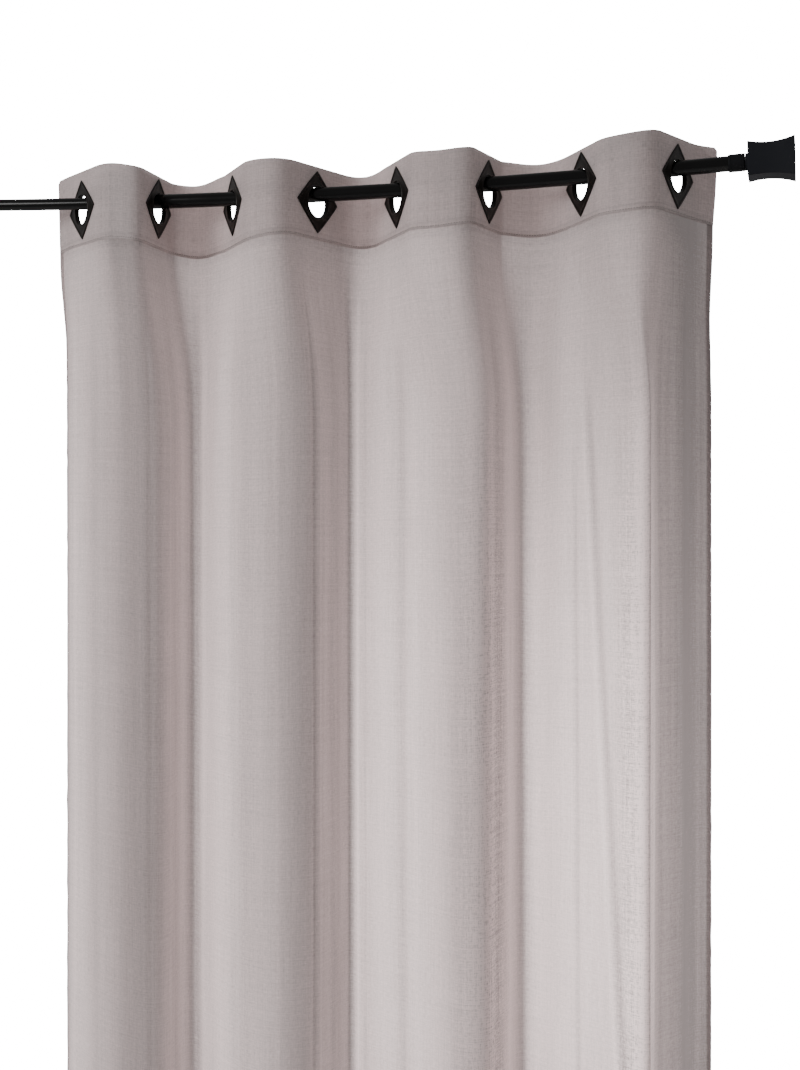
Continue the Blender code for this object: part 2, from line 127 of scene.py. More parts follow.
# The floor and the photo's view
FLOOR_BELOW_HEM = 0.10
CAMERA_PLACE = (0.577, -1.979, -0.4463)
CAMERA_TURN = 14.98
CAMERA_LENS = 53.24
CAMERA_SENSOR = 36.0

# The same tables as in the solids' source: one row for each eyelet, and one for each fold
FoldLine = namedtuple("FoldLine", "x angle body_x body_angle hem_x hem_angle lean rise fall")
FOLD_LINES = (
    FoldLine(-0.4013, 40.6, -0.3985, 39, -0.396, 45, 2.2, 0.0055, -0.0015),
    FoldLine(-0.2915, 89.7, -0.2700, 97, -0.270, 68, -0.7, -0.0030, 0.0035),
    FoldLine(-0.1818, 52.2, -0.1890, 36, -0.182, 48, 1.0, 0.0005, 0.0060),
    FoldLine(-0.0660, 68.4, -0.0500, 82, -0.054, 67, 0.8, -0.0010, -0.0010),
    FoldLine(0.0442, 53.1, 0.0585, 32, 0.050, 46, 1.3, 0.0000, 0.0010),
    FoldLine(0.1633, 77.6, 0.1820, 83, 0.182, 66, 1.3, 0.0000, -0.0020),
    FoldLine(0.2843, 54.4, 0.2840, 34, 0.276, 50, -0.9, -0.0030, -0.0010),
    FoldLine(0.4016, 67.9, 0.3985, 60, 0.408, 58, -0.4, 0.0010, -0.0030),
)
Fold = namedtuple("Fold", "skew body_skew hem_skew body_flat droop")
FOLDS = (
    Fold(0.10, 0.08, 0.10, 0.014, -0.0020),
    Fold(0.50, 0.40, -0.10, 0.006, 0.0055),
    Fold(-0.10, 0.70, 0.20, 0.008, 0.0010),
    Fold(-0.60, -0.23, -0.30, 0.032, 0.0025),
    Fold(0.10, 0.43, 0.20, 0.032, 0.0030),
    Fold(-0.60, 0.10, -0.05, 0.012, 0.0040),
    Fold(0.10, 0.46, 0.15, 0.031, 0.0025),
)
Edge = namedtuple("Edge", "angle body_angle hem_angle opening margin droop")
LEFT_EDGE = Edge(18, 53, 50, 12, LEFT_MARGIN, 0.0055)
RIGHT_EDGE = Edge(26, 54, 50, 50, RIGHT_MARGIN, 0.0060)
FLAT_HALF = (0.041, 0.035, 0.018)
BODY_DROP = 0.34
EDGE_BODY_DROP = 0.23
SPREAD_DROP = 1.10
LINES_ACROSS = LEFT_MARGIN + EYELET_PITCH * np.arange(8)

# Creases and soft troughs of the hanging cloth, on top of its folds. across is where one
# starts, drift how far it moves sideways by its lower end, half_width its breadth, lift how
# far it stands towards the room (+) or away from it (-), and tone how much painted light (+)
# or painted shade (-) lies on the cloth along it. A row without lift only paints the cloth lighter
# or darker.
Crease = namedtuple("Crease", "across top bottom drift half_width lift tone")
CREASES = (
    Crease(0.008, 0.10, 2.30, 0.000, 0.010, 0.0000, -1.10),
    Crease(0.040, 0.10, 2.30, 0.002, 0.006, 0.0006, 0.30),
    Crease(0.097, 0.12, 2.00, 0.006, 0.010, -0.0014, -0.30),
    Crease(0.150, 0.10, 2.30, 0.004, 0.024, 0.0008, 0.75),
    Crease(0.197, 0.10, 2.30, 0.002, 0.005, -0.0014, -0.35),
    Crease(0.235, 0.14, 1.90, 0.004, 0.005, 0.0012, 0.20),
    Crease(0.262, 0.10, 2.20, 0.004, 0.004, -0.0010, -0.20),
    Crease(0.295, 0.10, 2.35, 0.000, 0.014, 0.0000, 0.60),
    Crease(0.326, 0.10, 2.35, 0.000, 0.010, 0.0000, -1.50),
    Crease(0.345, 0.10, 2.00, 0.004, 0.007, 0.0014, 0.20),
    Crease(0.436, 0.12, 2.30, 0.004, 0.008, -0.0018, -0.40),
    Crease(0.462, 0.12, 2.20, 0.004, 0.024, 0.0006, -0.80),
    Crease(0.523, 0.10, 2.10, 0.006, 0.006, 0.0014, 0.30),
    Crease(0.5735, 0.10, 2.35, 0.002, 0.0024, -0.0013, -1.10),
    Crease(0.583, 0.10, 2.20, 0.002, 0.0030, 0.0010, 0.40),
    Crease(0.622, 0.14, 2.00, 0.004, 0.008, 0.0014, -0.15),
    Crease(0.630, 0.10, 2.35, 0.003, 0.0160, 0.0000, -0.60),
    Crease(0.670, 0.10, 2.35, 0.003, 0.0050, -0.0016, -1.60),
    Crease(0.684, 0.10, 2.35, 0.003, 0.0030, 0.0014, 0.90),
    Crease(0.697, 0.12, 2.00, 0.004, 0.0024, -0.0008, -0.40),
    Crease(0.772, 0.20, 2.20, 0.006, 0.008, -0.0020, -0.70),
    Crease(0.800, 0.20, 2.20, 0.010, 0.007, 0.0012, 0.20),
    Crease(0.905, 0.12, 2.30, 0.004, 0.026, 0.0006, 1.20),
    Crease(0.948, 0.12, 2.30, 0.004, 0.014, -0.0012, -0.60),
    Crease(0.995, 0.12, 2.35, 0.000, 0.018, 0.0000, 0.90),
    Crease(1.034, 0.12, 2.35, 0.000, 0.012, 0.0000, -1.00),
    Crease(1.130, 0.36, 1.90, 0.012, 0.004, -0.0016, -0.90),
    Crease(1.139, 0.26, 1.90, 0.114, 0.005, 0.0012, 0.60),
    Crease(1.148, 0.26, 1.90, 0.118, 0.007, -0.0014, -1.20),
    Crease(1.242, 0.25, 2.30, 0.004, 0.016, 0.0000, 1.50),
    Crease(1.271, 0.20, 2.30, 0.003, 0.006, 0.0008, 0.60),
    Crease(1.292, 0.15, 2.10, 0.004, 0.006, -0.0010, -0.50),
    # A broad band of painted shade over the strip along the right edge
    Crease(1.360, -0.10, 2.80, 0.000, 0.060, 0.0000, -2.00),
    Crease(1.325, 0.12, 2.20, 0.000, 0.007, 0.0012, 0.10),
    Crease(1.347, 0.12, 2.20, -0.003, 0.006, -0.0012, -0.70),
    Crease(1.375, 0.12, 2.20, -0.002, 0.006, 0.0010, 0.45),
    Crease(1.397, 0.10, 2.30, -0.001, 0.003, -0.0004, -0.80),
)
# Bands where the light rakes the cloth and the weave shows most: the length across and the
# half-breadth of each, and the drops between which they fade in
RAKED = ((0.930, 0.040), (1.232, 0.024))
RAKED_TOP = 0.28
RAKED_FULL = 0.58
# Slanting drag lines below the heading, from the tight folds outwards
Drag = namedtuple("Drag", "across drop run fall half_width lift")
DRAGS = (
    Drag(0.215, 0.115, -0.045, 0.085, 0.0030, 0.0013),
    Drag(0.228, 0.120, -0.030, 0.110, 0.0026, -0.0011),
    Drag(0.395, 0.112, 0.055, 0.060, 0.0030, 0.0010),
    Drag(0.430, 0.110, -0.030, 0.070, 0.0028, -0.0010),
    Drag(0.590, 0.112, -0.060, 0.065, 0.0030, 0.0012),
    Drag(0.600, 0.118, -0.040, 0.110, 0.0026, -0.0010),
    Drag(0.760, 0.112, 0.050, 0.070, 0.0030, 0.0010),
    Drag(0.945, 0.112, -0.055, 0.080, 0.0030, 0.0012),
    Drag(1.105, 0.112, 0.045, 0.090, 0.0028, -0.0010),
    Drag(1.300, 0.112, -0.050, 0.080, 0.0030, 0.0011),
)
# Sums of random sine waves: the first five are relief in metres, and the mottles are tone
Ripples = namedtuple("Ripples", "seed count shortest longest tallest")
SLOW_RIPPLES = Ripples(11, 7, 0.05, 0.12, 0.0016)
SMALL_RIPPLES = Ripples(12, 7, 0.018, 0.04, 0.0005)
HEADING_PUCKERS = Ripples(13, 9, 0.007, 0.022, 0.0006)
HEM_PUCKERS = Ripples(14, 9, 0.008, 0.03, 0.0005)
SIDE_PUCKERS = Ripples(15, 10, 0.012, 0.06, 0.0007)
PANEL_MOTTLE = Ripples(21, 8, 0.03, 0.16, 0.25)
HEADING_MOTTLE = Ripples(22, 8, 0.02, 0.12, 0.25)

# The cloth's finish: how often each noise repeats in a metre, across and down
WARP_SLUBS = (420, 9, 0)
WEFT_SLUBS = (11, 460, 0)
STREAKS = (30, 4, 0)
CLOUDS = (5, 5, 0)
FINE_WARP = (900, 144, 0)
FINE_WEFT = (144, 900, 0)
MIDDLE_SHADE = 0.584
LIGHT_THROUGH = 0.42

# Node wiring


class Value:
    """A number that varies over a surface. Arithmetic on it adds Math nodes."""

    def __init__(self, finish, socket):
        self.finish = finish
        self.socket = socket

    def math(self, operation, first, second):
        made = self.finish.node("ShaderNodeMath", {"operation": operation}, {0: first, 1: second})
        return Value(self.finish, made.outputs[0])

    def __add__(self, other):
        return self.math("ADD", self, other)

    def __radd__(self, other):
        return self.math("ADD", other, self)

    def __sub__(self, other):
        return self.math("SUBTRACT", self, other)

    def __rsub__(self, other):
        return self.math("SUBTRACT", other, self)

    def __mul__(self, other):
        return self.math("MULTIPLY", self, other)

    def __rmul__(self, other):
        return self.math("MULTIPLY", other, self)

    def up_to(self, other):
        return self.math("MINIMUM", self, other)

    def at_least(self, other):
        return self.math("MAXIMUM", self, other)


class Wiring:
    """A node tree under construction. node() adds a node from its type, settings and inputs."""

    def __init__(self, tree):
        self.tree = tree
        self.tree.nodes.clear()

    def feed(self, socket, value):
        if isinstance(value, Value):
            self.tree.links.new(value.socket, socket)
        elif isinstance(value, bpy.types.NodeSocket):
            self.tree.links.new(value, socket)
        else:
            socket.default_value = value

    def node(self, kind, settings=None, inputs=None):
        made = self.tree.nodes.new(kind)
        for key, value in (settings or {}).items():
            setattr(made, key, value)
        for key, value in (inputs or {}).items():
            self.feed(made.inputs[key], value)
        return made


class Finish(Wiring):
    """A material under construction."""

    def __init__(self, name):
        self.material = bpy.data.materials.new(name)
        self.material.use_nodes = True
        super().__init__(self.material.node_tree)

    def attribute(self, name):
        """A value stored on the mesh's points."""
        made = self.node("ShaderNodeAttribute", {"attribute_name": name})
        return Value(self, made.outputs["Fac"])

    def stretched(self, vector, scale):
        """A coordinate multiplied along each of its three directions."""
        made = self.node("ShaderNodeVectorMath", {"operation": "MULTIPLY"}, {0: vector, 1: scale})
        return made.outputs[0]

    def noise(self, vector, scale, detail=2.0, roughness=0.5):
        """Smooth noise from 0 to 1 on a coordinate that is stretched to its scale."""
        place = self.stretched(vector, scale)
        made = self.node(
            "ShaderNodeTexNoise", {"noise_dimensions": "3D"},
            {"Vector": place, "Scale": 1.0, "Detail": detail, "Roughness": roughness},
        )
        return Value(self, made.outputs[0])

    def mixed(self, factor, first, second):
        """A colour between two colours."""
        made = self.node("ShaderNodeMix", {"data_type": "RGBA"}, {0: factor})
        self.feed(made.inputs[6], first)
        self.feed(made.inputs[7], second)
        return made.outputs[2]

    def bump(self, height, strength, distance):
        made = self.node(
            "ShaderNodeBump", None, {"Height": height, "Strength": strength, "Distance": distance},
        )
        return made.outputs[0]

    def output(self, shader):
        self.node("ShaderNodeOutputMaterial", None, {"Surface": shader.outputs[0]})
        return self.material


def colour(tint, strength=1.0):
    """A tint as a socket's colour, made lighter or darker."""
    red, green, blue = tint
    return (red * strength, green * strength, blue * strength, 1.0)


def cloth_finish(name, tint, see_through):
    """Linen-look cloth on the piece's own map, in metres across and down.

    Slow noise stretched along each thread direction makes the slubs, a finer one the weave,
    and both show more where the raked attribute is high, as painted raking light. An attribute
    on the mesh adds a random mottle and painted light and shade. The cloth lets part of the
    light through, and where its threads or the painted shade make it darker, it hides a little
    less of what is behind it.
    """
    finish = Finish(name)
    place = finish.node("ShaderNodeUVMap", {"uv_map": "cloth"}).outputs[0]
    warp = finish.noise(place, WARP_SLUBS, 3.0, 0.6)
    weft = finish.noise(place, WEFT_SLUBS, 3.0, 0.6)
    streaks = finish.noise(place, STREAKS)
    clouds = finish.noise(place, CLOUDS, 3.0)
    fine_warp = finish.noise(place, FINE_WARP, 1.0)
    fine_weft = finish.noise(place, FINE_WEFT, 1.0)
    slubs = (warp + weft) * 0.5
    weave = (fine_warp + fine_weft) * 0.5
    threads = ((slubs - 0.5) * 1.5 + (weave - 0.5) * 1.7) * 0.53
    threads = threads * (1.0 + finish.attribute("raked") * 2.6)
    patches = (streaks + clouds - 1.0) * 0.14
    # The mesh attribute adds its random mottle and its painted light and shade
    off_middle = threads + patches + finish.attribute("crease_and_painted_light") * 0.29
    shade = (off_middle + MIDDLE_SHADE).up_to(1.0).at_least(0.0)
    base = finish.mixed(shade, colour(tint, 0.50), colour(tint, 1.30))
    normal = finish.bump(weave * 0.6 + slubs * 0.4, 0.45, 0.0008)
    alpha = ((1.0 - see_through) + off_middle * 0.2).up_to(1.0)
    skin = finish.node("ShaderNodeBsdfPrincipled", None, {
        "Base Color": base, "Roughness": 0.92, "Normal": normal, "Alpha": alpha,
        "Sheen Weight": 0.12, "Sheen Roughness": 0.6, "Specular IOR Level": 0.15,
    })
    glow = finish.node("ShaderNodeBsdfTranslucent", None, {"Color": base, "Normal": normal})
    return finish.output(finish.node("ShaderNodeMixShader", None, {
        0: LIGHT_THROUGH, 1: skin.outputs[0], 2: glow.outputs[0],
    }))


def thread_finish(name, tint):
    """Sewing thread with a faint change of tone along the seam."""
    finish = Finish(name)
    place = finish.node("ShaderNodeTexCoord").outputs["Object"]
    base = finish.mixed(finish.noise(place, (90, 90, 90)), colour(tint, 0.85), colour(tint, 1.1))
    return finish.output(finish.node(
        "ShaderNodeBsdfPrincipled", None, {"Base Color": base, "Roughness": 0.7}))


def metal_finish(name, tint, worn, roughness, shine, grain, depth, metallic=0.0):
    """Coated metal: two tones in slow patches, small changes of gloss and a fine grain.

    grain is how often the grain repeats in a metre, and depth its height.
    """
    finish = Finish(name)
    place = finish.node("ShaderNodeTexCoord").outputs["Object"]
    patches = finish.noise(place, (38, 38, 38), 4.0, 0.55)
    fine = finish.noise(place, (grain, grain, grain), 3.0, 0.6)
    base = finish.mixed(patches * 0.7 + fine * 0.3, colour(tint), colour(worn))
    gloss = (roughness - 0.06) + patches * 0.07 + fine * 0.05
    return finish.output(finish.node("ShaderNodeBsdfPrincipled", None, {
        "Base Color": base, "Roughness": gloss, "Normal": finish.bump(fine, 0.35, depth),
        "Metallic": metallic, "Specular IOR Level": shine,
    }))


# Mesh making


def grid_faces(rows, columns, wrap_rows=False, wrap_columns=False, flip=False):
    """Quads between neighbouring points of a grid, as an array of corner numbers."""
    index = np.arange(rows * columns).reshape(rows, columns)
    if wrap_rows:
        index = np.concatenate([index, index[:1]])
    if wrap_columns:
        index = np.concatenate([index, index[:, :1]], axis=1)
    corners = (index[:-1, :-1], index[1:, :-1], index[1:, 1:], index[:-1, 1:])
    faces = np.stack(corners, axis=-1).reshape(-1, 4)
    return faces[:, ::-1] if flip else faces


def new_piece(name, points, faces, finish, cloth_map=None, tones=None, close_poles=False):
    """A mesh object from arrays of points and faces, riding on the part's one body.

    cloth_map is each point's place on the flat cloth, and tones holds values for its points.
    """
    mesh = bpy.data.meshes.new(name)
    mesh.from_pydata(points.reshape(-1, 3).tolist(), [], faces.tolist())
    if cloth_map is not None:
        layer = mesh.uv_layers.new(name="cloth")
        corner = np.empty(len(mesh.loops), np.int32)
        mesh.loops.foreach_get("vertex_index", corner)
        layer.data.foreach_set("uv", cloth_map.reshape(-1, 2)[corner].astype(np.float32).ravel())
    for key, value in (tones or {}).items():
        mesh.attributes.new(key, "FLOAT", "POINT").data.foreach_set("value", value.ravel())
    if close_poles:
        bm = bmesh.new()
        bm.from_mesh(mesh)
        bmesh.ops.remove_doubles(bm, verts=bm.verts, dist=1e-6)
        bm.to_mesh(mesh)
        bm.free()
    mesh.shade_smooth()
    mesh.materials.append(finish)
    piece = bpy.data.objects.new(name, mesh)
    bpy.context.scene.collection.objects.link(piece)
    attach(piece, "root")
    return piece


# The cloth's shape


def level_mix(values, drop, body_drop=BODY_DROP):
    """Heading value down to the stitched edge, eased to the body's and, low down, to the hem's."""
    heading, body, hem = values
    to_body = np.clip((drop - HEADING_DROP) / (body_drop - HEADING_DROP), 0, 1)
    to_hem = np.clip((drop - SPREAD_DROP) / (CLOTH_DROP - SPREAD_DROP), 0, 1)
    to_body = to_body * to_body * (3 - 2 * to_body)
    to_hem = to_hem * to_hem * (3 - 2 * to_hem)
    return heading + (body - heading) * to_body + (hem - body) * to_hem


def fold_between(start, start_way, end, end_way, flat, skew, local):
    """Plan of one fold at lengths local from its first fold line, for every drop at once.

    Straight flats at both fold lines are joined by a cubic curve. Both handles grow by
    halving steps until the curve is as long as the cloth between the flats.
    """
    curve_points = 181
    halvings = 36
    t = np.linspace(0, 1, curve_points)[None, :, None]
    curve_start = start + start_way * flat
    curve_end = end - end_way * flat
    cloth = EYELET_PITCH - 2 * flat[:, 0]
    short = np.zeros_like(cloth)
    long = 3 * cloth
    for _ in range(halvings):
        handle = ((short + long) / 2)[:, None]
        first = curve_start + start_way * handle * (1 + skew)
        second = curve_end - end_way * handle * (1 - skew)
        path = (
            (1 - t) ** 3 * curve_start[:, None] + 3 * (1 - t) ** 2 * t * first[:, None]
            + 3 * (1 - t) * t ** 2 * second[:, None] + t ** 3 * curve_end[:, None]
        )
        lengths = np.sqrt((np.diff(path, axis=1) ** 2).sum(axis=2)).cumsum(axis=1)
        too_short = lengths[:, -1] < cloth
        short = np.where(too_short, handle[:, 0], short)
        long = np.where(too_short, long, handle[:, 0])
    whole = np.concatenate([start[:, None], path, end[:, None]], axis=1)
    along = np.concatenate([np.zeros_like(flat), flat, flat + lengths], axis=1)
    along = np.concatenate([along, along[:, -1:] + flat], axis=1)
    along *= EYELET_PITCH / along[:, -1:]
    plan = [
        [np.interp(local, reached, places) for reached, places in zip(along, whole[..., axis])]
        for axis in (0, 1)
    ]
    return np.stack(plan, axis=-1)


def margin_beyond(place, way, side, edge, flat, drop, local):
    """Plan of a side margin at lengths local from its fold line, for every drop at once.

    After the flat the cloth turns at an even rate, so the plan is a circular arc.
    """
    least_rate = 1e-4
    angle = level_mix((edge.angle, edge.body_angle, edge.hem_angle), drop, EDGE_BODY_DROP)
    angle = angle - edge.opening * np.clip(1 - drop / HEADING_DROP, 0, None)
    end_angle = np.radians(angle if side > 0 else 180 - angle)
    start_angle = np.arctan2(way[:, 1:], way[:, :1])
    rate = (end_angle - start_angle) / (edge.margin - flat)
    rate = np.where(np.abs(rate) < least_rate, least_rate, rate)
    straight = np.minimum(local[None], flat)
    turned = start_angle + rate * np.clip(local[None] - flat, 0, None)
    x = place[:, :1] + way[:, :1] * straight + (np.sin(turned) - np.sin(start_angle)) / rate
    y = place[:, 1:] + way[:, 1:] * straight - (np.cos(turned) - np.cos(start_angle)) / rate
    return np.stack([x, y], axis=-1)


def cloth_plan(drops, across):
    """Plan of the cloth: (x, y) at each drop (rows) and each length across (columns)."""
    drop = np.asarray(drops, float)[:, None]
    across = np.clip(np.asarray(across, float), 0, CLOTH_WIDTH)
    flat = level_mix(FLAT_HALF, drop)
    places = []
    ways = []
    for number, line in enumerate(FOLD_LINES):
        x = level_mix((line.x, line.body_x, line.hem_x), drop)
        angle = np.radians(level_mix((line.angle, line.body_angle, line.hem_angle), drop))
        forward = -1 if number % 2 == 0 else 1
        places.append(np.concatenate([x, np.zeros_like(x)], axis=1))
        ways.append(np.concatenate([np.cos(angle), forward * np.sin(angle)], axis=1))
    plan = np.zeros((len(drop), len(across), 2))
    left = across <= LINES_ACROSS[0]
    plan[:, left] = margin_beyond(
        places[0], -ways[0], -1, LEFT_EDGE, flat, drop, LINES_ACROSS[0] - across[left])
    for number, fold in enumerate(FOLDS):
        here = (across > LINES_ACROSS[number]) & (across <= LINES_ACROSS[number + 1])
        skew = level_mix((fold.skew, fold.body_skew, fold.hem_skew), drop)
        fold_flat = level_mix((FLAT_HALF[0], fold.body_flat, FLAT_HALF[2]), drop)
        plan[:, here] = fold_between(
            places[number], ways[number], places[number + 1], ways[number + 1], fold_flat, skew,
            across[here] - LINES_ACROSS[number])
    right = across > LINES_ACROSS[-1]
    plan[:, right] = margin_beyond(
        places[-1], ways[-1], 1, RIGHT_EDGE, flat, drop, across[right] - LINES_ACROSS[-1])
    return plan


# The plan of the hanging cloth and the directions along it, solved once for all the pieces
DRAPE_DROPS = np.linspace(0, CLOTH_DROP, 241)
DRAPE_ACROSS = np.linspace(0, CLOTH_WIDTH, 1401)
DRAPE_PLAN = cloth_plan(DRAPE_DROPS, DRAPE_ACROSS)
DRAPE_ALONG = np.gradient(DRAPE_PLAN, axis=1)
DRAPE_ALONG /= np.linalg.norm(DRAPE_ALONG, axis=2, keepdims=True)


def rod_height(x):
    """Height of the rod's axis: a shallow parabola, lowest at the middle."""
    return ROD_SAG * (2 * x / SAG_SPAN) ** 2


def eyelet_height(number):
    """Height of an eyelet's centre, read from its solid."""
    low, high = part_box(f"eyelet_front_{number + 1}")
    return (low.z + high.z) / 2


EYELET_HEIGHTS = [eyelet_height(number) for number in range(8)]
HANGS = [rod_height(line.x) - height for line, height in zip(FOLD_LINES, EYELET_HEIGHTS)]


def edge_heights(across):
    """Heights of the heading's top edge and stitched edge at lengths across.

    Each is the rod's height less the hang of the eyelets, eased from one eyelet to the
    next. A droop that follows a sine squared lowers the middle of each fold, and the
    free corners droop with the square of their distance from the last eyelet.
    """
    across = np.clip(np.asarray(across, float), 0, CLOTH_WIDTH)
    flat = FLAT_HALF[0]
    level = np.zeros_like(across)
    rise = np.zeros_like(across)
    fall = np.zeros_like(across)
    ends = ((LEFT_EDGE, 0, across <= LINES_ACROSS[0]), (RIGHT_EDGE, -1, across > LINES_ACROSS[-1]))
    for edge, end, here in ends:
        beyond = np.abs(across[here] - LINES_ACROSS[end]) - flat
        free = np.clip(beyond / (edge.margin - flat), 0, 1)
        level[here] = -HANGS[end] - edge.droop * free ** 2
        rise[here] = FOLD_LINES[end].rise
        fall[here] = FOLD_LINES[end].fall
    for number, fold in enumerate(FOLDS):
        here = (across > LINES_ACROSS[number]) & (across <= LINES_ACROSS[number + 1])
        first, second = FOLD_LINES[number:number + 2]
        beyond = across[here] - LINES_ACROSS[number] - flat
        free = np.clip(beyond / (EYELET_PITCH - 2 * flat), 0, 1)
        ease = free * free * (3 - 2 * free)
        droop = fold.droop * np.sin(math.pi * free) ** 2
        level[here] = -HANGS[number] + (HANGS[number] - HANGS[number + 1]) * ease - droop
        rise[here] = first.rise + (second.rise - first.rise) * ease
        fall[here] = first.fall + (second.fall - first.fall) * ease
    base = level + rod_height(np.interp(across, DRAPE_ACROSS, DRAPE_PLAN[0, :, 0]))
    return base + TOP_MARGIN + rise, base - STITCH_MARGIN - fall


def waves(across, drop, ripples):
    """Sum of sine waves across the cloth, each leaning and swelling slowly with the drop."""
    random = np.random.default_rng(ripples.seed)
    total = np.zeros(np.broadcast(across, drop).shape)
    for _ in range(ripples.count):
        length = random.uniform(ripples.shortest, ripples.longest)
        lean = random.uniform(-0.03, 0.03)
        phase, swell = random.uniform(0, tau, 2)
        beat = random.uniform(0.5, 1.4)
        size = random.uniform(0.3, 1.0) * ripples.tallest / math.sqrt(ripples.count)
        total += size * np.sin(tau * (across + lean * drop) / length + phase) * (
            0.6 + 0.4 * np.sin(tau * drop / beat + swell))
    return total


def crease_strength(crease_and_painted_light, across, drop):
    """A bell curve across a row of the creases table that eases in at its top and fades away at its
    lower end.
    """
    start_share = 0.08
    end_share = 0.35
    part = (drop - crease_and_painted_light.top) / (crease_and_painted_light.bottom - crease_and_painted_light.top)
    start = np.clip(part / start_share, 0, 1)
    fade = start * start * (3 - 2 * start) * np.clip((1 - part) / end_share, 0, 1)
    middle = crease_and_painted_light.across + crease_and_painted_light.drift * np.clip(part, 0, 1)
    return fade * np.exp(-((across - middle) / crease_and_painted_light.half_width) ** 2)


def drag_strength(drag, across, drop):
    """A bell curve across a short slanting line, which fades towards both of its ends."""
    part = (drop - drag.drop) / drag.fall
    inside = np.clip(part, 0, 1)
    middle = drag.across + drag.run * inside
    swell = np.sin(math.pi * inside) ** 0.7
    return swell * np.exp(-((across - middle) / drag.half_width) ** 2)


def panel_tone(across, drop):
    """How much lighter or darker the panel looks: its mottle, and the painted light and shade along
    its creases.

    It is darker in a narrow band along the heading, and below it by an exponential fade.
    """
    tone = waves(across, drop, PANEL_MOTTLE)
    # Painted light and shade along each crease
    for crease_and_painted_light in CREASES:
        tone = tone + crease_and_painted_light.tone * crease_strength(crease_and_painted_light, across, drop)
    band_middle = 0.004
    band_half = 0.0075
    fade_depth = 0.035
    seam = np.abs(drop - HEADING_DROP - band_middle) < band_half
    under = np.exp(-np.clip(drop - HEADING_DROP, 0, None) / fade_depth)
    return tone - 0.3 * seam - 0.65 * under


def heading_tone(across, drop):
    """How much lighter or darker the heading looks: its mottle, and bell curves.

    A narrow dark one runs above the stitches, and a broad one of painted light lies over each
    valley between two eyelets. A strip of painted shadow darkens the cut edge.
    """
    line_above = 0.0075
    line_half = 0.0016
    painted_shadow_height = 0.0005
    valley_middle = EYELET_PITCH * 0.55
    valley_half = EYELET_PITCH * 0.33
    above = HEADING_DROP - drop
    tone = waves(across, drop, HEADING_MOTTLE)
    tone = tone - 0.5 * np.exp(-((above - line_above) / line_half) ** 2)
    # Painted shadow along the cut edge
    tone = tone - 0.9 * (above < painted_shadow_height)
    # Painted light over each valley between two eyelets
    for line in LINES_ACROSS[1:7:2]:
        tone = tone + 0.5 * np.exp(-((across - line - valley_middle) / valley_half) ** 2)
    return tone


def raked_light(across, drop):
    """How strongly the light rakes the cloth: a bell curve across each band of the table."""
    bands = sum(np.exp(-((across - middle) / breadth) ** 2) for middle, breadth in RAKED)
    return bands * np.clip((drop - RAKED_TOP) / (RAKED_FULL - RAKED_TOP), 0, 1)


def relief(across, drop):
    """How far the cloth stands out from its fold, towards the room, in metres.

    It sums slow ripples that fade in below the heading, the creases of the table, each a
    bell curve across that fades at its ends, and short puckers at the seams and hems.
    """
    ripple_fade = 0.25
    pucker_top = 0.01
    pucker_fade = 0.022
    hem_fade = 0.02
    side_fade = 0.012
    under = drop - HEADING_DROP
    below = np.clip(under / ripple_fade, 0, 1)
    lift = below * waves(across, drop, SLOW_RIPPLES)
    lift += below * waves(across, drop, SMALL_RIPPLES)
    for crease_and_painted_light in CREASES:
        lift += crease_and_painted_light.lift * crease_strength(crease_and_painted_light, across, drop)
    for drag in DRAGS:
        lift += drag.lift * drag_strength(drag, across, drop)
    seam = np.exp(-np.clip(under, 0, None) / pucker_fade) * (drop >= HEADING_DROP - pucker_top)
    lift += seam * waves(across, drop * 0, HEADING_PUCKERS)
    hem = np.exp(-((CLOTH_DROP - BOTTOM_HEM - drop) / hem_fade) ** 2)
    lift += hem * waves(across, drop * 0, HEM_PUCKERS)
    side = np.exp(-(np.minimum(across, CLOTH_WIDTH - across) / side_fade) ** 2)
    lift += side * waves(drop, across * 0, SIDE_PUCKERS) * below
    return lift


def on_drape(grid, drops, across):
    """Values of a drape grid between its own drops (rows) and lengths across (columns)."""
    row = np.clip(np.asarray(drops, float) / CLOTH_DROP, 0, 1) * (len(DRAPE_DROPS) - 1)
    column = np.clip(np.asarray(across, float) / CLOTH_WIDTH, 0, 1) * (len(DRAPE_ACROSS) - 1)
    top = np.minimum(row.astype(int), len(DRAPE_DROPS) - 2)
    left = np.minimum(column.astype(int), len(DRAPE_ACROSS) - 2)
    down = (row - top)[:, None, None]
    along = (column - left)[None, :, None]
    upper = grid[top][:, left] * (1 - along) + grid[top][:, left + 1] * along
    lower = grid[top + 1][:, left] * (1 - along) + grid[top + 1][:, left + 1] * along
    return upper * (1 - down) + lower * down


def cloth_points(drops, across, behind):
    """Points of the cloth at drops by lengths across, moved back by behind.

    Each is the fold's plan, pushed out along the fold's own normal by the relief.
    """
    spread = np.asarray(across, float)
    plan = on_drape(DRAPE_PLAN, drops, spread)
    along = on_drape(DRAPE_ALONG, drops, spread)
    outward = np.stack([along[..., 1], -along[..., 0]], axis=-1)
    drop = np.asarray(drops, float)[:, None]
    out = relief(spread[None, :], drop) - behind
    top, stitch = edge_heights(spread)
    inside = top + (stitch - top) * drop / HEADING_DROP
    below = stitch - (drop - HEADING_DROP)
    height = np.where(drop < HEADING_DROP, inside, below)
    plan = plan + outward * out[..., None]
    return np.concatenate([plan, height[..., None]], axis=2)


def stations_across(per_pitch):
    """Lengths across from edge to edge, evenly spaced between fold lines."""
    step = EYELET_PITCH / per_pitch
    left_steps = max(2, round(LEFT_MARGIN / step))
    right_steps = max(2, round(RIGHT_MARGIN / step))
    left = np.linspace(0, LINES_ACROSS[0], left_steps + 1)[:-1]
    middle = np.linspace(LINES_ACROSS[0], LINES_ACROSS[-1], 7 * per_pitch + 1)
    right = np.linspace(LINES_ACROSS[-1], CLOTH_WIDTH, right_steps + 1)[1:]
    return np.concatenate([left, middle, right])


